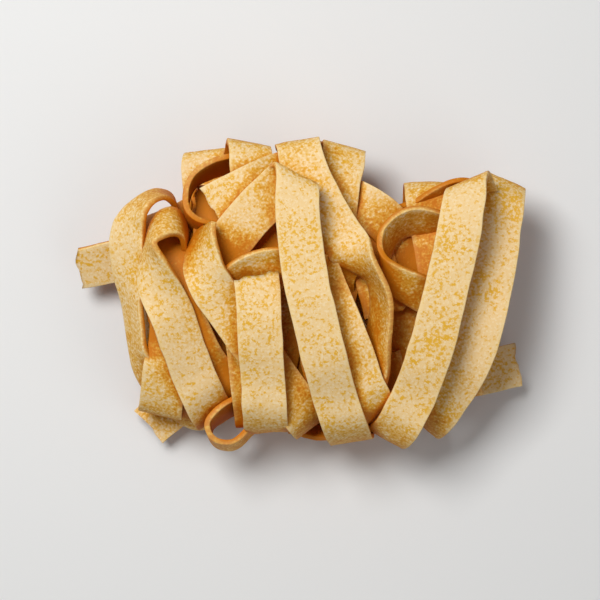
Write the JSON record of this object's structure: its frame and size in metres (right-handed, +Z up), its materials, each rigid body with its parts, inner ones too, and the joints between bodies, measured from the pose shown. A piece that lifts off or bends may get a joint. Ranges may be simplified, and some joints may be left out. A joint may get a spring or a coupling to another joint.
{
  "type": "dry pasta nest",
  "caption": "Dry egg pasta nest: one oval mound of broad flat ribbons, folded over along one edge, with standing loops and cut ends.",
  "frame": {"origin": "on the surface that the nest lies on, under the middle of its bounding box", "axes": "+Z up out of the shown side; +X along the oval, away from the loose cut end; +Y towards the edge where the ribbons fold over"},
  "size_m": [0.1242, 0.0876, 0.0459],
  "materials": {
    "dry_pasta": "dry egg pasta with a rough sheet surface: pale floury specks over golden yellow, deeper gold in the folds, matte"
  },
  "bodies": {
    "root": {"pasta_nest": "dry_pasta"}
  },
  "joints": []
}
